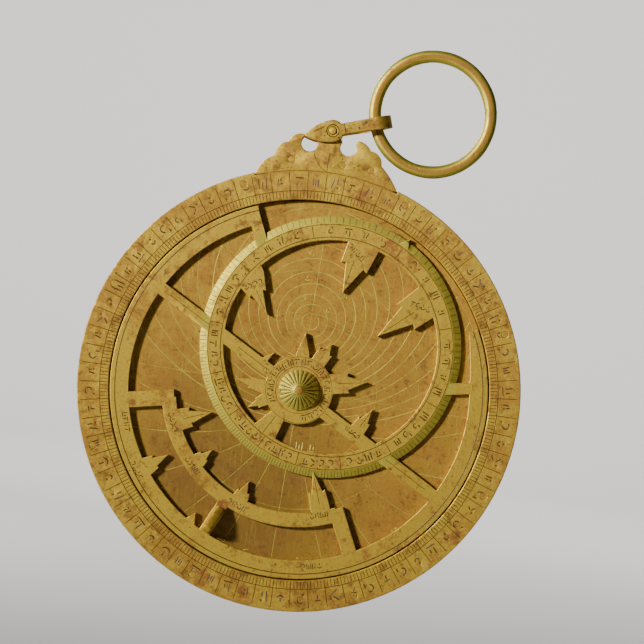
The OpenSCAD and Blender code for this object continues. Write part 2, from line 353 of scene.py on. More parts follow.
def aged_brass(
    name, body, wear=0.45, stain_spots=(), dirt=1.0, seed=0.0, dull=0.8, bright_ring=None, tarnish=None
):
    """Old rubbed brass: films in patches, corners and grooves darkened partly as grimy build-up and partly
    as painted shade, rubbed edges, pits and scratches.

    Less wear leaves more film, and dull is the film's strength. A stain or a darker area has a centre
    and a reach, and the pale band of painted sheen has a centre and its inner and outer radius, in metres.
    """
    shader = Shader(name)
    spot = shader.node("ShaderNodeTexCoord", output="Object")
    place = shader.node("ShaderNodeMapping", {}, {"Vector": spot, "Location": (seed, 0, seed * 0.7)})
    cloud = shader.noise(0.022, 3.0, 0.6, place)
    patch = shader.noise(0.007, 6.0, 0.68, place)
    flecks = shader.noise(0.0024, 5.0, 0.72, place)
    grain = shader.noise(0.0009, 4.0, 0.7, place)
    pits = shader.between(shader.noise(0.0013, 2.0, 0.5, place), 0.69, 0.75)
    film = shader.between(patch * 0.4 + cloud * 0.3 + flecks * 0.3, wear, wear + 0.09)
    marks = scratches(shader, 0.5) * 0.6 + scratches(shader, -0.8) * 0.5 + scratches(shader, 1.9) * 0.4
    colour = shader.mix(film * dull, rgb(body), rgb("tan"))
    dark = shader.between(flecks * 0.5 + patch * 0.3 + grain * 0.2, 0.52, 0.61)
    # Darker, in the patina's colour, towards a spot
    if tarnish:
        centre, reach = tarnish
        near = shader.distance(spot, centre)
        darkening = shader.between(near, reach, reach * 0.3) * (0.35 + cloud * 0.5)
        colour = shader.mix(darkening, colour, rgb("patina", 1.3))
    colour = shader.mix(dark * 0.62, colour, rgb("patina"))
    colour = shader.mix(shader.between(grain, 0.50, 0.66) * 0.4, colour, rgb("patina", 1.3))
    colour = shader.mix(marks * 0.3, colour, rgb("cut", 0.8))
    rust = shader.between(shader.noise(0.010, 4.0, 0.7, place) * 0.5 + flecks * 0.5, 0.575, 0.65) * 0.5
    for at, reach in stain_spots:
        near = shader.distance(spot, at)
        around = shader.between(near, reach, reach * 0.2) * 0.3 + flecks * 0.6 + grain * 0.4
        rust = rust.maths("MAXIMUM", rust, shader.between(around, 0.66, 0.80))
    colour = shader.mix(rust * 0.66, colour, rgb("copper"))
    colour = shader.mix(pits * 0.8, colour, rgb("grime_and_shade"))
    # Corners and grooves: partly grimy build-up, partly painted shade where little light reaches
    corner = shader.between(shader.nook(0.0012), 0.25, 0.75)
    edge = shader.between(shader.nook(0.0006, inside=True), 0.3, 0.75)
    # A pale band all round a bevel: a painted highlight for the sheen it catches
    if bright_ring:
        centre, inner, outer = bright_ring
        near = shader.distance(spot, centre)
        bevel_sheen = shader.between(near, inner - 0.0002, inner + 0.0002)
        bevel_sheen = bevel_sheen * shader.between(near, outer + 0.0003, outer)
        colour = shader.mix(bevel_sheen * (0.85 - dark * 0.4), colour, rgb("pale"))
    colour = shader.mix(edge * 0.6, colour, rgb("cut"))
    # Painted shade and grimy build-up darken the corners
    colour = shader.mix(corner * 0.85 * dirt, colour, rgb("grime_and_shade", 1.2))
    rough = 0.46 + film * 0.10 + grain * 0.22 + rust * 0.08 - edge * 0.06
    metal = 0.92 - film * 0.15 - rust * 0.15 - corner * 0.4
    height = grain * 0.6 + flecks * 0.5 - pits * 1.0 - marks * 0.35
    return shader.finish({"Base Color": colour, "Roughness": rough, "Metallic": metal}, height)


def groove(name, colour, shade, metallic):
    """The walls of an engraved line, grimy or bare metal that varies along it."""
    shader = Shader(name)
    grain = shader.noise(0.0015, 4.0, 0.7)
    patch = shader.noise(0.009, 3.0, 0.6)
    dull = shader.between(grain * 0.5 + patch * 0.5, 0.42, 0.66) * 0.5
    tone = shader.mix(dull, rgb(colour, shade), rgb("patina", 0.6 * shade))
    sockets = {"Base Color": tone, "Roughness": 0.45 + grain * 0.2, "Metallic": metallic}
    return shader.finish(sockets, grain, 0.00005)


def coloured_metal(name, colour, film=0.5, rough=0.5):
    """Copper or bronze with a darker skin, pits, rubbed high spots, and corners darkened partly as grimy
    build-up, partly as painted shade.
    """
    shader = Shader(name)
    patch = shader.noise(0.004, 6.0, 0.7)
    grain = shader.noise(0.0007, 4.0, 0.7)
    pits = shader.between(shader.noise(0.0012, 2.0, 0.5), 0.66, 0.74)
    skin = shader.between(patch * 0.6 + grain * 0.4, film - 0.08, film + 0.1)
    edge = shader.between(shader.nook(0.0006, inside=True), 0.4, 0.9)
    corner = shader.between(shader.nook(0.0015), 0.25, 0.8)
    tone = shader.mix(skin * 0.6, rgb(colour), rgb(colour, 0.5))
    tone = shader.mix(edge * 0.5, tone, rgb("cut"))
    # Corners darkened: partly grimy build-up, partly painted shade; pits darkened too
    tone = shader.mix(corner * 0.7 + pits * 0.3, tone, rgb("grime_and_shade"))
    sockets = {"Base Color": tone, "Roughness": rough + skin * 0.12 + grain * 0.1}
    sockets["Metallic"] = 0.95 - skin * 0.2
    return shader.finish(sockets, patch * 0.6 + grain * 0.6 - pits, 0.00025)


def material(name, make, *settings, **named):
    """The material of that name, made on first use."""
    return bpy.data.materials.get(name) or make(name, *settings, **named)


def brass_pair(name, groove_name="dark groove", **settings):
    """A piece's brass and the finish of its engraved lines."""
    surface = material(name, aged_brass, **settings)
    if groove_name == "dark groove":
        return [surface, material(groove_name, groove, "patina", 0.7, 0.4)]
    # Other grooves get pale walls: a painted highlight along each line
    return [surface, material(groove_name, groove, "cut", 0.9, 0.4)]


# ---- places: local millimetres, x right, y up and z out of the face ----


def face_place(turned=0.0):
    """The disc's face as seen from the front, turned clockwise."""
    upright = Matrix.Translation(joint_place("rete_turn")) @ Matrix.Rotation(STRAIGHT_UP, 4, "X")
    return upright @ Matrix.Rotation(-turned, 4, "Z") @ Matrix.Scale(MM, 4)


def back_place(turned=0.0):
    """The disc's back as seen from behind, turned clockwise."""
    behind = face_place() @ Matrix.Rotation(math.pi, 4, "Y")
    return behind @ Matrix.Rotation(-turned, 4, "Z")


# ---- making pieces ----


def cad_copy(node, place, flat=math.radians(0.6)):
    """A copy of a CAD node's mesh in local millimetres, merged, with its flat faces made whole."""
    bm = bmesh.new()
    bm.from_mesh(frame["nodes"][node].data)
    bm.transform(place.inverted())
    bmesh.ops.remove_doubles(bm, verts=bm.verts, dist=0.002)
    bmesh.ops.dissolve_limit(bm, angle_limit=flat, verts=bm.verts, edges=bm.edges)
    return bm


def soften(bm, width, segments=2, corner=math.radians(30), chosen=lambda edge: True):
    """Rounds the sharp edges of a piece, or those that are chosen."""
    sharp = [
        edge
        for edge in bm.edges
        if len(edge.link_faces) == 2 and edge.calc_face_angle(0) > corner and chosen(edge)
    ]
    bmesh.ops.bevel(
        bm,
        geom=sharp,
        offset=width,
        segments=segments,
        profile=0.5,
        affect="EDGES",
        material=-1,
        clamp_overlap=False,
        miter_outer="SHARP",
    )


def spin(bm, geom, steps, angle=FULL_TURN, centre=(0, 0, 0), axis=(0, 0, 1)):
    """Sweeps an outline around an axis, and closes it where the turn is a full one."""
    bmesh.ops.spin(
        bm,
        geom=geom,
        cent=centre,
        axis=axis,
        dvec=(0, 0, 0),
        angle=angle,
        steps=steps,
        use_merge=angle >= FULL_TURN,
        use_normal_flip=False,
        use_duplicate=False,
    )


def turned_shape(outline, steps, centre=(0, 0, 0), closed=True):
    """A shape turned from its outline around an upright axis."""
    bm = bmesh.new()
    verts = [bm.verts.new(point) for point in outline]
    first = 0 if closed else 1
    edges = [bm.edges.new((verts[i - 1], verts[i])) for i in range(first, len(verts))]
    spin(bm, verts + edges, steps, centre=centre)
    return bm


def at_level(level):
    """Chooses the edges that lie in a piece's front face."""
    return lambda edge: all(abs(vert.co.z - level) < 0.01 for vert in edge.verts)


def scratch_object(bm, name):
    mesh = bpy.data.meshes.new(name)
    bm.to_mesh(mesh)
    made = bpy.data.objects.new(name, mesh)
    bpy.context.scene.collection.objects.link(made)
    for slot in range(2):
        mesh.materials.append(material(f"placeholder {slot}", lambda name: bpy.data.materials.new(name)))
    return made


def carve(bm, tools):
    """Cuts the closed shapes of an engraver's tools out of a piece."""
    bmesh.ops.recalc_face_normals(tools, faces=tools.faces)
    for face in tools.faces:
        face.material_index = 1
    blank = scratch_object(bm, "blank")
    cutter = scratch_object(tools, "cutter")
    cut = blank.modifiers.new("cut", "BOOLEAN")
    cut.operation = "DIFFERENCE"
    cut.solver = "MANIFOLD"
    cut.object = cutter
    bpy.context.view_layer.update()
    depsgraph = bpy.context.evaluated_depsgraph_get()
    result = bpy.data.meshes.new_from_object(blank.evaluated_get(depsgraph))
    if len(result.polygons) <= len(bm.faces):
        raise RuntimeError("the engraving didn't cut the piece")
    bm.clear()
    bm.from_mesh(result)
    for used in (blank, cutter):
        mesh = used.data
        bpy.data.objects.remove(used)
        bpy.data.meshes.remove(mesh)
    bpy.data.meshes.remove(result)
    tools.free()


def put(bm, place, name, materials, slot, *nodes, crease=math.radians(21)):
    """Makes the finished piece, which rides with the CAD nodes that it stands for."""
    bm.transform(place)
    for face in bm.faces:
        face.smooth = True
    for edge in bm.edges:
        edge.smooth = edge.calc_face_angle(0) < crease
    mesh = bpy.data.meshes.new(name)
    bm.to_mesh(mesh)
    bm.free()
    for finish in materials:
        mesh.materials.append(finish)
    piece = bpy.data.objects.new(name, mesh)
    bpy.context.scene.collection.objects.link(piece)
    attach(piece, frame["nodes"][nodes[0]]["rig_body"])
    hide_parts(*nodes)


def plain_piece(node, place, name, finish, slot, width, segments=2):
    """A piece that is its CAD node with softened edges."""
    bm = cad_copy(node, place)
    soften(bm, width, segments)
    put(bm, place, name, [finish], slot, node)


def repaint(node, finish):
    """Gives a CAD node its material."""
    slots = frame["nodes"][node].data.materials
    slots.clear()
    slots.append(finish)


# Generic marks for the cells of a scale, in a square one unit wide. No two strokes touch.
MARKS = (
    (("bar", -0.28, -0.5, -0.28, 0.45), ("bar", 0.12, -0.45, 0.12, 0.0), ("dot", 0.2, 0.36)),
    (("bow", 0.0, 0.05, 0.42, 110, 250), ("bar", 0.0, 0.0, 0.0, 0.5)),
    (("bar", -0.45, -0.4, 0.45, -0.4), ("bar", -0.2, -0.18, -0.2, 0.5), ("bar", 0.22, -0.18, 0.22, 0.22)),
    (("bow", -0.05, 0.12, 0.3, -60, 160), ("dot", -0.3, -0.4)),
    (("bar", -0.35, 0.45, 0.12, 0.08), ("bar", 0.12, -0.12, -0.3, -0.5), ("dot", 0.4, 0.3)),
    (("bar", -0.35, -0.45, -0.35, 0.5), ("bar", 0.0, -0.45, 0.0, 0.2), ("bar", 0.35, -0.45, 0.35, 0.5)),
    (("bow", 0.05, -0.15, 0.3, 80, 280), ("dot", 0.0, 0.4)),
    (("dot", 0.3, -0.3), ("bar", -0.3, -0.45, -0.1, 0.4), ("bar", 0.25, 0.0, 0.25, 0.5)),
    (("bar", -0.4, 0.3, 0.4, 0.3), ("bar", 0.0, 0.1, -0.2, -0.5)),
    (("bow", 0.0, 0.1, 0.34, -160, 30), ("bar", 0.35, -0.1, 0.35, -0.5)),
)


class Engraver:
    """Gathers wedge-shaped tools for lines on a face. Lines that cross go to different engravers."""

    def __init__(self, level, width=None, depth=None):
        sizes = bpy.context.scene.astrolabe_sizes
        self.level = level
        self.width = width or sizes.line_w / MM
        self.depth = depth or sizes.line_depth / MM
        self.above = 0.12
        self.tools = bmesh.new()
        self.scratch = bpy.data.meshes.new("scratch")

    def keep(self, shape):
        shape.to_mesh(self.scratch)
        shape.free()
        self.tools.from_mesh(self.scratch)

    def raised(self, point):
        return Vector((*point, self.level)) if len(point) == 2 else Vector(point)

    def line(self, start, end, width=None):
        """A straight line with a three-sided prism, edge down."""
        start, end = self.raised(start), self.raised(end)
        along = (end - start).normalized()
        up = (Vector((0, 0, 1)) - along * along.z).normalized()
        side = along.cross(up)
        deep = self.depth + self.above
        wide = (width or self.width) * deep / self.depth
        columns = (side * wide / math.sqrt(3), -up * deep / 1.5, along * (end - start).length)
        place = Matrix(columns).transposed().to_4x4()
        place.translation = (start + end) / 2 + up * (self.above - deep / 3)
        shape = bmesh.new()
        bmesh.ops.create_cone(
            shape, cap_ends=True, segments=3, radius1=1, radius2=1, depth=1, matrix=place
        )
        self.keep(shape)

    def arc(self, radius, start=0.0, end=360.0, centre=(0, 0), width=None):
        """A circle, or an arc between two angles in degrees clockwise from the top."""
        whole = end - start >= 360
        half = (width or self.width) / 2 * (1 + self.above / self.depth)
        shape = bmesh.new()
        corners = []
        for out, level in ((-half, self.above), (half, self.above), (0, -self.depth)):
            corners.append(shape.verts.new((*polar(radius + out, start, centre), self.level + level)))
        outline = shape.faces.new(corners)
        geom = corners + list(outline.edges) + [outline]
        if whole:
            shape.faces.remove(outline)
            geom = geom[:-1]
        sweep = math.radians(end - start)
        steps = max(3, round(radius * sweep / CHORD)) if radius > 6 else max(6, round(sweep * 5))
        spin(shape, geom, steps, sweep, (*centre, 0), (0, 0, -1))
        self.keep(shape)

    def dot(self, at, radius):
        """A round pit."""
        shape = bmesh.new()
        deep = self.depth + self.above
        place = Matrix.Translation((*at, self.level + self.above - deep / 2))
        place = place @ Matrix.Rotation(math.pi, 4, "X")
        wide = radius * deep / self.depth
        bmesh.ops.create_cone(
            shape, cap_ends=True, segments=8, radius1=wide, radius2=0, depth=deep, matrix=place
        )
        self.keep(shape)

    def mark(self, kind, at, turned, size, width=None):
        """One of the generic marks, turned clockwise by an angle in degrees."""
        turn = Matrix.Rotation(-math.radians(turned), 2)
        at = Vector(at)
        for stroke, *numbers in MARKS[kind % len(MARKS)]:
            spot = at + turn @ Vector(numbers[:2]) * size
            if stroke == "bar":
                self.line(spot, at + turn @ Vector(numbers[2:]) * size, width)
            elif stroke == "dot":
                self.dot(spot, (width or self.width) * 0.8)
            else:
                radius, start, end = numbers[2:]
                self.arc(radius * size, start + turned, end + turned, spot, width)

    def cut(self, bm):
        carve(bm, self.tools)
        bpy.data.meshes.remove(self.scratch)


# ---- finishes that several pieces share ----


def face_spot(x, y, level):
    """A spot on the disc's face, in metres of the frame."""
    return tuple(face_place() @ Vector((x, y, level)))


# Copper-red stains: where each one is and how far it reaches
LIMB_STAINS = [
    (face_spot(-52, -50, LIMB_FACE), 0.006),
    (face_spot(-25, -70, LIMB_FACE), 0.007),
    (face_spot(-10, -73, LIMB_FACE), 0.005),
    (face_spot(60, -44, LIMB_FACE), 0.006),
    (face_spot(-62, 42, LIMB_FACE), 0.004),
    (face_spot(12, 70, LIMB_FACE), 0.005),
]
CROWN_STAINS = [
    (face_spot(-13, 80, LIMB_FACE), 0.004),
    (face_spot(13, 80, LIMB_FACE), 0.003),
]


def limb_finish():
    return brass_pair("limb brass", body="brass", wear=0.44, stain_spots=LIMB_STAINS)


def crown_finish():
    return brass_pair("crown brass", body="brass", wear=0.47, stain_spots=CROWN_STAINS, seed=0.3)


def rule_finish():
    return brass_pair("rule brass", body="brass", wear=0.5, seed=3.1)


# ---- pieces ----


def engrave_degree_scale(bm, level, inner, ticks_to, cells_to, seed):
    """A scale of degrees with its cells of five degrees and a mark in each."""
    chance = random.Random(seed)
    circles = Engraver(level)
    circles.arc(ticks_to)
    for cell in range(72):
        angle = cell * 5 + 2.5
        small = cell % 2
        size = (cells_to - ticks_to) * (0.36 if small else 0.56)
        radius = (ticks_to + cells_to) / 2 + chance.uniform(-0.4, 0.2)
        at = polar(radius, angle + chance.uniform(-0.4, 0.4))
        circles.mark(chance.randrange(len(MARKS)), at, angle + chance.uniform(-8, 8), size, 0.46)
    circles.cut(bm)
    lines = Engraver(level)
    for degree in range(360):
        whole_cell = degree % 5 == 0
        start = polar(inner + 0.35, degree)
        end = polar(cells_to if whole_cell else ticks_to - 0.25, degree)
        lines.line(start, end, None if whole_cell else 0.2)
    lines.cut(bm)


class ASTROLABE_OT_limb(bpy.types.Operator):
    """The graduated limb in front of the back plate"""

    bl_idname = "astrolabe.limb"
    bl_label = "Limb"

    def execute(self, context):
        edge = context.scene.astrolabe_sizes.edge_w / MM
        bm = cad_copy("limb_ring", face_place())
        soften(bm, edge * 1.4, chosen=at_level(LIMB_FACE))
        engrave_degree_scale(bm, LIMB_FACE, WELL_R, TICK_R, CELL_R, seed=11)
        put(bm, face_place(), "limb", limb_finish(), "mater_brass", "limb_ring")
        return {"FINISHED"}


class ASTROLABE_OT_mater(bpy.types.Operator):
    """The back plate with the scales on its back, and the rivets that hold the limb and crown"""

    bl_idname = "astrolabe.mater"
    bl_label = "Back plate and rivets"

    def execute(self, context):
        edge = context.scene.astrolabe_sizes.edge_w / MM
        place = back_place()
        bm = cad_copy("mater_plate", place)
        soften(bm, edge, chosen=at_level(BACK_FACE))
        engrave_degree_scale(bm, BACK_FACE, BACK_IN_R, BACK_TICK_R, BACK_CELL_R, seed=23)
        rings = Engraver(BACK_FACE)
        for radius in (BACK_IN_R, 58.0, HOURS_IN_R, 22.0):
            rings.arc(radius)
        rings.cut(bm)
        self.engrave_quadrants(bm)
        put(bm, place, "back_plate", limb_finish(), "mater_brass", "mater_plate")
        copper = material("copper", coloured_metal, "copper", 0.55)
        rivet = material("rivet brass", aged_brass, body="brass", wear=0.42, seed=0.3)
        for part in ("limb", "throne"):
            heads = f"{part}_rivet_heads"
            plain_piece(f"{part}_rivets", face_place(), heads, rivet, "copper_rivet", 0.12)
        repaint("locating_stud", copper)
        return {"FINISHED"}

    def engrave_quadrants(self, bm):
        """Cross lines, a shadow square below and hour lines above."""
        cross = Engraver(BACK_FACE)
        for angle in range(0, 360, 90):
            cross.line(polar(11, angle), polar(BACK_IN_R, angle))
        for step in range(1, 12):
            angle = step * 15 - 90
            if angle != 0:
                cross.line(polar(HOURS_IN_R, angle), polar(BACK_IN_R, angle))
        cross.cut(bm)
        square = Engraver(BACK_FACE)
        side, inner_side, down = 36.0, 31.0, -6.0
        for reach in (side, inner_side):
            bottom = down - reach
            for sign in (-1, 1):
                square.line((sign * reach, down), (sign * reach, bottom + 0.3))
            square.line((-reach + 0.3, bottom), (reach - 0.3, bottom))
        square.cut(bm)
        steps = Engraver(BACK_FACE)
        for step in range(1, 12):
            along = side * step / 12
            for sign in (-1, 1):
                steps.line((sign * along, down - side + 0.3), (sign * along, down - inner_side - 0.3))
                steps.line((sign * (side - 0.3), down - along), (sign * (inner_side + 0.3), down - along))
        for step in range(24):
            angle = -82.5 + step * 7.2
            steps.mark(step * 3, polar(61.5, angle), angle, 2.6, 0.3)
            if step % 2:
                steps.mark(step, polar(48.0, angle), angle, 2.2, 0.26)
        steps.cut(bm)


# Small round pits in the crown: where each one is, and its radius
PITS = ((4.6, 81.9, 0.28), (17.4, 77.5, 0.25), (-10.5, 83.2, 0.22), (8.3, 81.0, 0.2))


class ASTROLABE_OT_throne(bpy.types.Operator):
    """The pierced crown at the top"""

    bl_idname = "astrolabe.throne"
    bl_label = "Throne"

    def execute(self, context):
        edge = context.scene.astrolabe_sizes.edge_w / MM
        bm = cad_copy("throne", face_place())
        soften(bm, edge * 1.5, 3, chosen=at_level(LIMB_FACE))
        lines = Engraver(LIMB_FACE)
        lines.line((-0.3, 77.2), (-0.1, 83.4))
        lines.arc(9.5, 200, 262, (3.6, 85.4), 0.16)
        lines.arc(6.5, 150, 200, (-16.6, 82.4), 0.16)
        for x, y, radius in PITS:
            lines.dot((x, y), radius)
        lines.cut(bm)
        put(bm, face_place(), "throne_crown", crown_finish(), "mater_brass", "throne")
        return {"FINISHED"}


def almucantar(altitude):
    """Radius of a circle of equal altitude, and how far its middle is above the disc's."""
    share = math.sin(LATITUDE) + math.sin(altitude)
    return EQUATOR_R * math.cos(altitude) / share, EQUATOR_R * math.cos(LATITUDE) / share


def arc_inside(radius, centre, limit):
    """The half angle, from straight down, of the part of a circle that lies within a limit."""
    if centre + radius <= limit:
        return math.pi
    return math.acos((radius * radius + centre * centre - limit * limit) / (2 * radius * centre))


def sky_circle(declination):
    """Radius on the plate of the circle of a declination."""
    return EQUATOR_R * math.tan((STRAIGHT_UP - declination) / 2)


def circle_through(first, second, third):
    """Middle and radius of the circle through three points."""
    d1, d2 = second - first, third - first
    cross = 2 * (d1.x * d2.y - d1.y * d2.x)
    along = Vector(
        (
            (d2.y * d1.length_squared - d1.y * d2.length_squared) / cross,
            (d1.x * d2.length_squared - d2.x * d1.length_squared) / cross,
        )
    )
    return first + along, along.length


def clock_angle(point, centre):
    return math.degrees(math.atan2(point.x - centre.x, point.y - centre.y))


class ASTROLABE_OT_plates(bpy.types.Operator):
    """The four latitude plates, with the circles and hour lines of the one in front"""

    bl_idname = "astrolabe.plates"
    bl_label = "Latitude plates"

    def execute(self, context):
        place = face_place(context.scene.astrolabe_sizes.plate_turned)
        bm = cad_copy("tympan_1", place)
        soften(bm, 0.12, chosen=at_level(PLATE_FACE))
        self.engrave_circles(bm)
        self.engrave_altitudes(bm)
        self.engrave_azimuths(bm)
        self.engrave_hours(bm)
        # The plate is darker at its lower left
        dark_spot = (face_spot(-20, -36, 0), 0.056)
        # The plate's engraved lines get pale walls, a painted highlight
        finish = brass_pair(
            "plate brass", "bright groove", body="plate", wear=0.45, dirt=0.6, seed=0.9, tarnish=dark_spot
        )
        put(bm, place, "front_plate", finish, "plate_brass", "tympan_1")
        for number in (2, 3, 4):
            repaint(f"tympan_{number}", finish[0])
        return {"FINISHED"}

    def engrave_circles(self, bm):
        circles = Engraver(PLATE_FACE)
        for radius in (CANCER_R, EQUATOR_R, CAPRICORN_R):
            circles.arc(radius, width=0.15)
        circles.cut(bm)

    def engrave_altitudes(self, bm):
        circles = Engraver(PLATE_FACE)
        for degrees in range(0, 90, 6):
            radius, centre = almucantar(math.radians(degrees))
            half = math.degrees(arc_inside(radius, centre, CAPRICORN_R - 0.2))
            width = 0.28 if degrees % 30 == 0 else 0.23
            circles.arc(radius, 180 - half, 180 + half, (0, centre), width)
            if 12 <= degrees <= 78 and degrees % 12 == 6:
                circles.mark(degrees // 6, (-3.6, centre + radius + 1.35), -4, 1.9, 0.27)
                circles.mark(degrees // 6 + 3, polar(radius + 1.45, 48, (0, centre)), 36, 1.9, 0.27)
        circles.cut(bm)

    def engrave_azimuths(self, bm):
        zenith = Vector((0, EQUATOR_R * math.tan((STRAIGHT_UP - LATITUDE) / 2)))
        nadir = Vector((0, -EQUATOR_R / math.tan((STRAIGHT_UP - LATITUDE) / 2)))
        middle = (zenith + nadir) / 2
        reach = (zenith - nadir).length / 2
        arcs = Engraver(PLATE_FACE)
        for side in (-1, 1):
            for azimuth in (30, 60, 90):
                out = reach / math.tan(math.radians(azimuth))
                centre = middle - Vector((side * out, 0))
                radius = math.hypot(out, reach)
                ends = self.azimuth_ends(centre, radius, side)
                if ends:
                    arcs.arc(radius, *ends, centre, 0.12)
        arcs.cut(bm)
        cross = Engraver(PLATE_FACE)
        cross.line((0, HUB_R - 4), (0, CAPRICORN_R - 0.2), 0.2)
        cross.line((0, -HUB_R + 4), (0, -CAPRICORN_R + 0.2), 0.2)
        for side in (-1, 1):
            cross.line((side * (HUB_R - 4), 0), (side * (CAPRICORN_R - 0.2), 0), 0.16)
        cross.cut(bm)

    def azimuth_ends(self, centre, radius, side):
        """Where a vertical circle's arc starts below the top altitude circle and meets the horizon."""
        horizon_r, horizon_up = almucantar(0)
        top_r, top_up = almucantar(math.radians(81))
        on_plate = []
        for step in range(720):
            angle = step / 2
            point = polar(radius, angle, centre)
            above = (point - Vector((0, horizon_up))).length < horizon_r
            clear = (point - Vector((0, top_up))).length > top_r
            if above and clear and point.length < CAPRICORN_R - 0.3 and point.x * side > 0.3:
                on_plate.append(angle)
        if len(on_plate) < 8:
            return None
        gap = max(range(len(on_plate)), key=lambda i: (on_plate[i] - on_plate[i - 1]) % 360)
        run = on_plate[gap:] + [angle + 360 for angle in on_plate[:gap]]
        return run[0], run[-1]

    def engrave_hours(self, bm):
        """Unequal hours: arcs through the twelfths of the night on the three circles."""
        lines = Engraver(PLATE_FACE)
        for hour in range(1, 12):
            points = []
            for declination in (-OBLIQUITY, 0, OBLIQUITY):
                half_night = math.acos(math.tan(LATITUDE) * math.tan(declination))
                angle = 180 + math.degrees(half_night) * (hour / 6 - 1)
                points.append(polar(sky_circle(declination), angle))
            # The sixth hour is the meridian, which is cut already
            if hour == 6:
                continue
            centre, radius = circle_through(*points)
            ends = [clock_angle(point, centre) for point in (points[0], points[2])]
            low, high = sorted(ends)
            if high - low > 180:
                low, high = high, low + 360
            trim = math.degrees(0.4 / radius)
            lines.arc(radius, low + trim, high - trim, centre, 0.2)
        for hour in range(12):
            half_night = math.acos(math.tan(LATITUDE) * math.tan(-OBLIQUITY))
            angle = 180 + math.degrees(half_night) * ((hour + 0.5) / 6 - 1)
            lines.mark(hour * 3 + 1, polar(CAPRICORN_R - 4.2, angle), angle + 180, 3.2, 0.32)
        lines.mark(5, (3.2, -19.5), 0, 3.0, 0.34)
        lines.mark(2, (7.6, -19.5), 0, 2.6, 0.34)
        lines.cut(bm)


def ecliptic_point(longitude):
    """Angle around the ecliptic's own middle of a point of the zodiac, in degrees."""
    turn = math.radians(longitude)
    declination = math.asin(math.sin(OBLIQUITY) * math.sin(turn))
    around = math.atan2(math.cos(OBLIQUITY) * math.sin(turn), math.cos(turn))
    radius = sky_circle(declination)
    # The summer solstice lies below the middle of the disc
    x, y = -radius * math.cos(around), -radius * math.sin(around)
    return math.degrees(math.atan2(x, y - ECLIPTIC_UP))


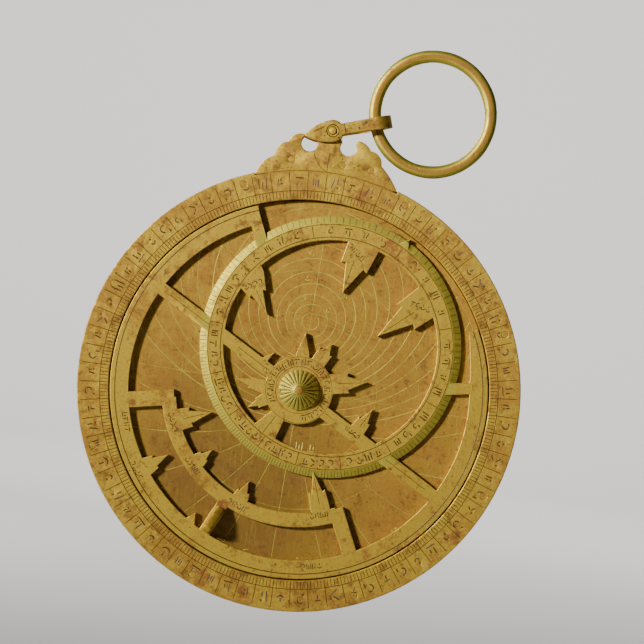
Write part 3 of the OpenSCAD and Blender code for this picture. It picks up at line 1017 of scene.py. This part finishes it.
class ASTROLABE_OT_star_map(bpy.types.Operator):
    """The pierced star map, with its graduated zodiac ring, marks and the turning knob"""

    bl_idname = "astrolabe.star_map"
    bl_label = "Star map"

    def execute(self, context):
        sizes = context.scene.astrolabe_sizes
        place = face_place(sizes.map_turned)
        bm = cad_copy("rete", place)
        soften(bm, sizes.edge_w / MM, chosen=at_level(MAP_FACE))
        self.engrave_rings(bm)
        self.engrave_zodiac(bm)
        self.engrave_marks(bm)
        stains = [
            (tuple(place @ Vector((-3.0, 59.5, MAP_FACE))), 0.0065),
            (tuple(place @ Vector((-12.0, -17.0, MAP_FACE))), 0.006),
            (tuple(place @ Vector((-2.0, -22.0, MAP_FACE))), 0.005),
            (tuple(place @ Vector((2.7, -48.0, MAP_FACE))), 0.0045),
        ]
        # The zodiac's bevel gets a pale band all round: a painted highlight
        centre = tuple(place @ Vector((0, ECLIPTIC_UP, MAP_FACE)))
        bevel_sheen = (centre, (ECLIPTIC_R - ECLIPTIC_BEVEL_W) * MM, ECLIPTIC_R * MM)
        finish = brass_pair(
            "map brass", body="brass", wear=0.49, stain_spots=stains, seed=1.7, bright_ring=bevel_sheen
        )
        plain = material("knob brass", aged_brass, body="brass", wear=0.46, seed=1.7)
        put(bm, place, "star_map", finish, "rete_brass", "rete")
        knob = cad_copy("rete_knob", place)
        soften(knob, 0.55, 3, chosen=lambda edge: max(vert.co.z for vert in edge.verts) > MAP_FACE + 0.1)
        put(knob, place, "turning_knob", [plain], "rete_brass", "rete_knob", crease=math.radians(40))
        return {"FINISHED"}

    def engrave_rings(self, bm):
        rings = Engraver(MAP_FACE)
        rings.arc(MAP_R - 1.75, width=0.34)
        rings.arc(8.2, width=0.16)
        rings.arc(HUB_R - 0.4, width=0.14)
        zodiac = (0, ECLIPTIC_UP)
        rings.arc(ECLIPTIC_R - ECLIPTIC_W + 1.1, centre=zodiac, width=0.26)
        rings.cut(bm)
        inner = Engraver(MAP_FACE)
        inner.arc(ECLIPTIC_R - ECLIPTIC_BEVEL_W - 0.25, centre=(0, ECLIPTIC_UP), width=0.2)
        inner.cut(bm)

    def engrave_zodiac(self, bm):
        """Divisions of two degrees on the sloped edge, and cells with their marks inside it."""
        chance = random.Random(5)
        centre = Vector((0, ECLIPTIC_UP))
        outer_level = MAP_FACE - ECLIPTIC_BEVEL_H
        slope_r = ECLIPTIC_R - ECLIPTIC_BEVEL_W
        lines = Engraver(MAP_FACE, 0.36, 0.17)
        fine = Engraver(MAP_FACE, 0.14, 0.07)
        for longitude in range(0, 360, 2):
            angle = ecliptic_point(longitude)
            start = Vector((*polar(ECLIPTIC_R - 0.1, angle, centre), outer_level))
            end = Vector((*polar(slope_r + 0.3, angle, centre), MAP_FACE - 0.1))
            fine.line(start, end, 0.2 if longitude % 10 == 0 else 0.13)
            if longitude % 30 == 0:
                band = (slope_r - 0.5, ECLIPTIC_R - ECLIPTIC_W + 1.3)
                lines.line(polar(band[0], angle, centre), polar(band[1], angle, centre), 0.24)
            elif longitude % 6 == 0:
                size = 2.3 if longitude % 12 else 2.9
                at = polar(slope_r - 2.4 + chance.uniform(-0.2, 0.2), angle, centre)
                lines.mark(chance.randrange(len(MARKS)), at, angle + 180, size, 0.42)
        lines.cut(bm)
        fine.cut(bm)

    def engrave_marks(self, bm):
        """The line along the bar of the equinoxes, marks around the hub and by the pointers' roots."""
        chance = random.Random(9)
        lines = Engraver(MAP_FACE)
        for side in (-1, 1):
            for start, end in ((12.2, 26.0), (38.5, 56.0)):
                ends = [Vector((x, -EQUINOX_DOWN - x * EQUINOX_SLOPE)) for x in (side * start, side * end)]
                lines.line(*ends, 0.2)
        lines.line((-1.2, -12.2), (-1.4, -19.6), 0.22)
        for step in range(22):
            angle = -146 + step * 13.3
            lines.mark(chance.randrange(len(MARKS)), polar(9.9, angle), angle, 2.3, 0.36)
        for at, turned, size in POINTER_MARKS:
            for step in (-1.5, -0.5, 0.5, 1.5):
                along = Matrix.Rotation(-math.radians(turned), 2) @ Vector((step * size * 1.1, 0))
                lines.mark(chance.randrange(len(MARKS)), Vector(at) + along, turned, size * 1.2, 0.34)
        for start, end in POINTER_LINES:
            lines.line(start, end, 0.18)
        lines.cut(bm)


# Groups of four marks on the star map: middle, angle clockwise, and size
POINTER_MARKS = (
    ((-12.2, 50.6), 12, 1.7),
    ((17.0, 48.6), -16, 1.7),
    ((-34.6, 20.4), -58, 1.6),
    ((-28.8, -35.0), 40, 1.7),
    ((-14.2, -43.3), 18, 1.7),
    ((6.4, -45.2), -8, 1.7),
    ((31.6, -31.0), -44, 1.6),
    ((-29.0, -56.2), 27, 1.7),
    ((24.0, -1.0), 2, 1.4),
    ((40.0, -47.0), -40, 1.7),
    ((-42.0, -44.6), 43, 1.7),
)
# Lines from the pointers' roots toward their tips
POINTER_LINES = (
    ((-11.2, 48.0), (-8.6, 38.6)),
    ((16.4, 45.9), (11.8, 33.8)),
    ((-32.6, 19.2), (-26.2, 15.6)),
    ((9.7, 9.9), (16.0, 14.9)),
    ((-0.3, 12.6), (-0.2, 17.8)),
    ((24.8, 2.4), (24.8, 7.6)),
    ((-26.6, -32.0), (-21.6, -26.2)),
    ((29.4, -27.9), (22.4, -21.5)),
)


class ASTROLABE_OT_pivot(bpy.types.Operator):
    """The fluted cap, the pin, its washer and the wedge that locks it"""

    bl_idname = "astrolabe.pivot"
    bl_label = "Pivot"

    def execute(self, context):
        place = face_place()
        # The cap is pale brass whose paleness partly paints the dome's sheen, a painted highlight
        cap_brass = material("cap brass", aged_brass, body="cut", wear=0.47, dirt=1.3, seed=2.3, dull=0.5)
        pin_metal = material("pin metal", coloured_metal, "pin", 0.55)
        put(self.fluted_dome(context), place, "fluted_dome", [cap_brass], "rete_brass", "fluted_cap")
        pin = cad_copy("pivot_pin", place)
        tip = levels("pivot_pin")[1]
        soften(pin, 0.3, 3, chosen=at_level(tip))
        soften(pin, 0.2, 2, chosen=at_level(levels("pivot_pin")[0]))
        put(pin, place, "pin", [pin_metal], "copper_rivet", "pivot_pin")
        plain = rule_finish()[0]
        for node, width, name in (("washer", 0.2, "pin_washer"), ("wedge", 0.35, "locking_wedge")):
            plain_piece(node, back_place(), name, plain, "alidade_brass", width, 3)
        return {"FINISHED"}

    def fluted_dome(self, context):
        """A dome turned from its profile, whose petals meet in sharp valleys."""
        petals = context.scene.astrolabe_sizes.flutes
        rim = half_width("fluted_cap")
        foot, top = levels("fluted_cap")
        height = top - foot
        tip_r, bore_r, wall = 1.52, 2.52, 1.2
        lip = 0.5
        # 1 would make a cone and 2 a round dome
        roundness = 1.28
        profile = [(bore_r, 0), (rim - 0.25, 0), (rim, 0.2), (rim, lip)]
        steps = 24
        crown = 1 - (tip_r / rim) ** roundness
        for step in range(1, steps + 1):
            radius = rim - (rim - tip_r) * (1 - math.cos(STRAIGHT_UP * step / steps))
            profile.append((radius, lip + (height - lip) * (1 - (radius / rim) ** roundness) / crown))
        profile += [(tip_r, height - wall), (bore_r, height - wall)]
        bm = turned_shape([(radius, 0, foot + z) for radius, z in profile], petals * 10)
        for vert in bm.verts:
            radius = math.hypot(vert.co.x, vert.co.y)
            up = vert.co.z - foot
            if radius < tip_r + 0.05 or up < 0.15 or radius < bore_r + 0.01 and up < height - wall + 0.05:
                continue
            around = math.atan2(vert.co.y, vert.co.x)
            lobe = abs(math.cos(around * petals / 2)) ** 0.45
            spread = smoothstep(tip_r, rim * 0.55, radius)
            rim_share = smoothstep(0.0, lip + 0.5, up)
            inward = (1 - lobe) * 0.65 * spread * (0.35 + 0.65 * rim_share)
            shrink = 1 - inward * 0.8 / radius
            vert.co.x *= shrink
            vert.co.y *= shrink
            vert.co.z -= inward * 0.55 * up / height
        bmesh.ops.recalc_face_normals(bm, faces=bm.faces)
        return bm


class ASTROLABE_OT_alidade(bpy.types.Operator):
    """The sighting rule on the back and its two sights"""

    bl_idname = "astrolabe.alidade"
    bl_label = "Sighting rule"

    def execute(self, context):
        sizes = context.scene.astrolabe_sizes
        # Seen from behind, the rule's turn runs the other way
        place = back_place(sizes.rule_turned)
        bm = cad_copy("alidade_rule", place)
        soften(bm, sizes.edge_w / MM * 1.5, chosen=at_level(RULE_FACE))
        lines = Engraver(RULE_FACE)
        for side in (-1, 1):
            lines.line((side * 10.5, 0), (side * 42.8, 0), 0.3)
            lines.line((side * 49.5, 0), (side * 74.5, 0), 0.3)
        lines.cut(bm)
        steps = Engraver(RULE_FACE)
        for side in (-1, 1):
            for step in range(13):
                x = side * (12 + step * 2.5)
                steps.line((x, 0.4), (x, 4.4 if step % 3 == 0 else 2.2), 0.2)
            for step in range(4):
                steps.mark(step * 2 + 3, (side * (15.8 + step * 7.5), -2.4), 0, 1.9, 0.26)
        steps.cut(bm)
        finish = rule_finish()
        put(bm, place, "sighting_rule", finish, "alidade_brass", "alidade_rule")
        for side in ("east", "west"):
            node = f"sight_vane_{side}"
            plain_piece(node, place, f"{side}_sight", finish[0], "alidade_brass", 0.2)
        return {"FINISHED"}


class ASTROLABE_OT_suspension(bpy.types.Operator):
    """The shackle with its leaf-shaped head, its pin and the suspension ring"""

    bl_idname = "astrolabe.suspension"
    bl_label = "Suspension"

    def execute(self, context):
        sizes = context.scene.astrolabe_sizes
        place = Matrix.Rotation(STRAIGHT_UP, 4, "X") @ Matrix.Rotation(sizes.shackle_turned, 4, "Z")
        place = place @ Matrix.Scale(MM, 4)
        back, front = levels("shackle")
        bm = cad_copy("shackle", place)
        soften(bm, 0.5, 3, chosen=lambda edge: at_level(front)(edge) or at_level(back)(edge))
        lines = Engraver(front, 0.36, 0.22)
        lines.arc(2.15)
        lines.dot((9.2, -0.7), 0.42)
        lines.dot((12.0, 0.9), 0.5)
        lines.dot((7.6, 0.8), 0.25)
        lines.cut(bm)
        brow = Engraver(front, 0.3, 0.18)
        brow.line((-2.6, 1.9), (-6.8, 0.9))
        brow.line((4.35, 1.7), (4.35, -1.7), 0.34)
        brow.cut(bm)
        finish = crown_finish()
        put(bm, place, "leaf_shackle", finish, "mater_brass", "shackle")
        plain_piece("shackle_pin", place, "shackle_rivet", finish[0], "copper_rivet", 0.38, 4)
        self.ring(place)
        return {"FINISHED"}

    def ring(self, place):
        """A hammered ring of eight-sided wire, whose front chamfers are painted pale as a highlight."""
        low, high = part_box("suspension_ring")
        middle = place.inverted() @ ((low + high) / 2)
        wire = (high.y - low.y) / 2 / MM
        mean_r = (high.x - low.x) / 2 / MM - wire
        # A rounded eight-sided bar: the direction of each pair of sides, and their share of the wire
        sides = ((0, 0.985), (45, 1.0), (90, 0.92), (135, 1.0))
        corners = 40
        outline = []
        for step in range(corners):
            turn = FULL_TURN * step / corners
            nearness = sum(abs(math.cos(turn - math.radians(way)) / far) ** 12 for way, far in sides)
            reach = wire * nearness ** (-1 / 12)
            across = middle.x + mean_r + reach * math.cos(turn)
            outline.append((across, middle.y, middle.z + reach * math.sin(turn)))
        bm = turned_shape(outline, 220, middle)
        for vert in bm.verts:
            away = vert.co - middle
            around = math.atan2(away.y, away.x)
            heart = middle + Vector((away.x, away.y, 0)).normalized() * mean_r
            hammer = math.sin(around * 7 + 1) + math.sin(around * 13 + away.z) * 0.6
            vert.co = heart + (vert.co - heart) * (0.965 + 0.014 * hammer)
        bmesh.ops.recalc_face_normals(bm, faces=bm.faces)
        # Front chamfers get the pale material, a painted highlight; the rest stays bronze
        for face in bm.faces:
            centre = face.calc_center_median() - middle
            across = math.hypot(centre.x, centre.y) - mean_r
            turn = math.degrees(math.atan2(centre.z, across))
            outer_chamfer, inner_chamfer = 20 < turn < 68, 112 < turn < 160
            face.material_index = 1 if outer_chamfer or inner_chamfer else 0
        bronze = material("ring bronze", coloured_metal, "bronze", 0.50, 0.55)
        # The pale bronze paints the chamfers' highlight
        rubbed = material("rubbed bronze", coloured_metal, "pale", 0.55, 0.5)
        put(bm, place, "ring", [bronze, rubbed], "bronze", "suspension_ring", crease=math.radians(50))


# ---- stage ----


class ASTROLABE_OT_stage(bpy.types.Operator):
    """A plain pale floor that curves up far away, soft studio lights and the camera"""

    bl_idname = "astrolabe.stage"
    bl_label = "Stage"

    def execute(self, context):
        self.floor(context)
        self.lights(context)
        self.camera(context)
        return {"FINISHED"}

    def floor(self, context):
        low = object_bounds()[0]
        level = low.z - 0.06
        reach, bend, wall = 2.6, 1.2, 1.6
        profile = [Vector((0.0, 0.0, level)), Vector((reach, 0.0, level))]
        for step in range(1, 13):
            turn = STRAIGHT_UP * step / 12
            profile.append(Vector((reach + bend * math.sin(turn), 0, level + bend * (1 - math.cos(turn)))))
        profile.append(Vector((reach + bend, 0, level + bend + wall)))
        bm = turned_shape(profile, 72, closed=False)
        bmesh.ops.remove_doubles(bm, verts=bm.verts, dist=0.0001)
        mesh = bpy.data.meshes.new("floor")
        bm.to_mesh(mesh)
        bm.free()
        mesh.polygons.foreach_set("use_smooth", [True] * len(mesh.polygons))
        shader = Shader("stage")
        grain = shader.noise(0.4, 2.0, 0.5)
        tone = shader.mix(grain, rgb("stage"), rgb("stage", 0.97))
        mesh.materials.append(shader.finish({"Base Color": tone, "Roughness": 0.9}))
        floor = bpy.data.objects.new("floor", mesh)
        context.scene.collection.objects.link(floor)
        floor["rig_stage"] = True

    def camera_axes(self, context):
        """The camera's right and up, and the way toward it."""
        roll = context.scene.astrolabe_sizes.camera_roll
        right = Vector((math.cos(roll), 0, math.sin(roll)))
        up = Vector((-math.sin(roll), 0, math.cos(roll)))
        return right, up, Vector((0, -1, 0))

    def light(self, context, name, at, aim, size, power, colour, spread):
        """A round lamp at a place and aimed at another, of so many watts and degrees of spread."""
        lamp = bpy.data.lights.new(name, "AREA")
        lamp.shape = "DISK"
        lamp.size = size
        lamp.energy = power
        lamp.color = colour
        lamp.spread = math.radians(spread)
        made = bpy.data.objects.new(name, lamp)
        made.location = at
        made.rotation_mode = "QUATERNION"
        made.rotation_quaternion = (at - aim).to_track_quat("Z", "Y")
        context.scene.collection.objects.link(made)

    def lights(self, context):
        right, up, toward = self.camera_axes(context)
        warm, plain = (1.0, 0.95, 0.80), (1.0, 0.985, 0.96)
        middle = joint_place("rete_turn")
        # The key points well past the disc's right edge, so that its light is weaker on the left
        past = middle + up * 0.12 + right * 0.30
        key = (right * -0.71 + up * 0.33 + toward * 0.624).normalized()
        self.light(context, "key", middle + key * 1.5, past, 0.2, 3.5, warm, 40)
        # Only the backdrop gets the second lamp, so that the shadows on the front stay dark
        self.light(context, "backdrop", Vector((0, 0.9, 2.2)), Vector((0, 3.2, 0.5)), 1.6, 150, plain, 130)
        self.light(context, "behind", middle + Vector((-0.7, 1.6, 0.5)), middle, 0.8, 6, plain, 60)
        world = bpy.data.worlds.new("studio")
        world.use_nodes = True
        sky = world.node_tree.nodes["Background"].inputs
        sky["Color"].default_value = (0.92, 0.95, 1.0, 1)
        sky["Strength"].default_value = 0.015
        context.scene.world = world

    def camera(self, context):
        sizes = context.scene.astrolabe_sizes
        right, up, toward = self.camera_axes(context)
        middle = joint_place("rete_turn")
        # The disc and its ring together are centred in the frame
        aim = Vector((middle.x + 4.9 * MM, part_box("limb_ring")[0].y, middle.z + 24.6 * MM))
        lens = bpy.data.cameras.new("camera")
        lens.sensor_width = 36
        lens.lens = lens.sensor_width * sizes.camera_distance / sizes.camera_width
        lens.clip_start, lens.clip_end = 0.05, 20
        camera = bpy.data.objects.new("camera", lens)
        camera.location = aim + toward * sizes.camera_distance
        turn = Matrix((right, up, toward)).transposed()
        camera.rotation_mode = "QUATERNION"
        camera.rotation_quaternion = turn.to_quaternion()
        context.scene.collection.objects.link(camera)
        context.scene.camera = camera


# ---- the add-on ----

OPERATORS = (
    ASTROLABE_OT_limb,
    ASTROLABE_OT_mater,
    ASTROLABE_OT_throne,
    ASTROLABE_OT_plates,
    ASTROLABE_OT_star_map,
    ASTROLABE_OT_pivot,
    ASTROLABE_OT_alidade,
    ASTROLABE_OT_suspension,
    ASTROLABE_OT_stage,
)


class ASTROLABE_PT_panel(bpy.types.Panel):
    """Sizes, colours and the steps that make the astrolabe"""

    bl_label = "Brass astrolabe"
    bl_idname = "ASTROLABE_PT_panel"
    bl_space_type = "VIEW_3D"
    bl_region_type = "UI"
    bl_category = "Astrolabe"

    def draw(self, context):
        layout = self.layout
        for group in (context.scene.astrolabe_sizes, context.scene.astrolabe_colours):
            box = layout.box()
            for name in group.__annotations__:
                box.prop(group, name)
        for operator in OPERATORS:
            layout.operator(operator.bl_idname)


CLASSES = (AstrolabeSizes, AstrolabeColours, *OPERATORS, ASTROLABE_PT_panel)


def register():
    for cls in CLASSES:
        bpy.utils.register_class(cls)
    bpy.types.Scene.astrolabe_sizes = PointerProperty(type=AstrolabeSizes)
    bpy.types.Scene.astrolabe_colours = PointerProperty(type=AstrolabeColours)


def unregister():
    del bpy.types.Scene.astrolabe_colours
    del bpy.types.Scene.astrolabe_sizes
    for cls in reversed(CLASSES):
        bpy.utils.unregister_class(cls)


def main():
    register()
    for operator in OPERATORS:
        group, name = operator.bl_idname.split(".")
        getattr(getattr(bpy.ops, group), name)()


if __name__ == "__main__":
    main()
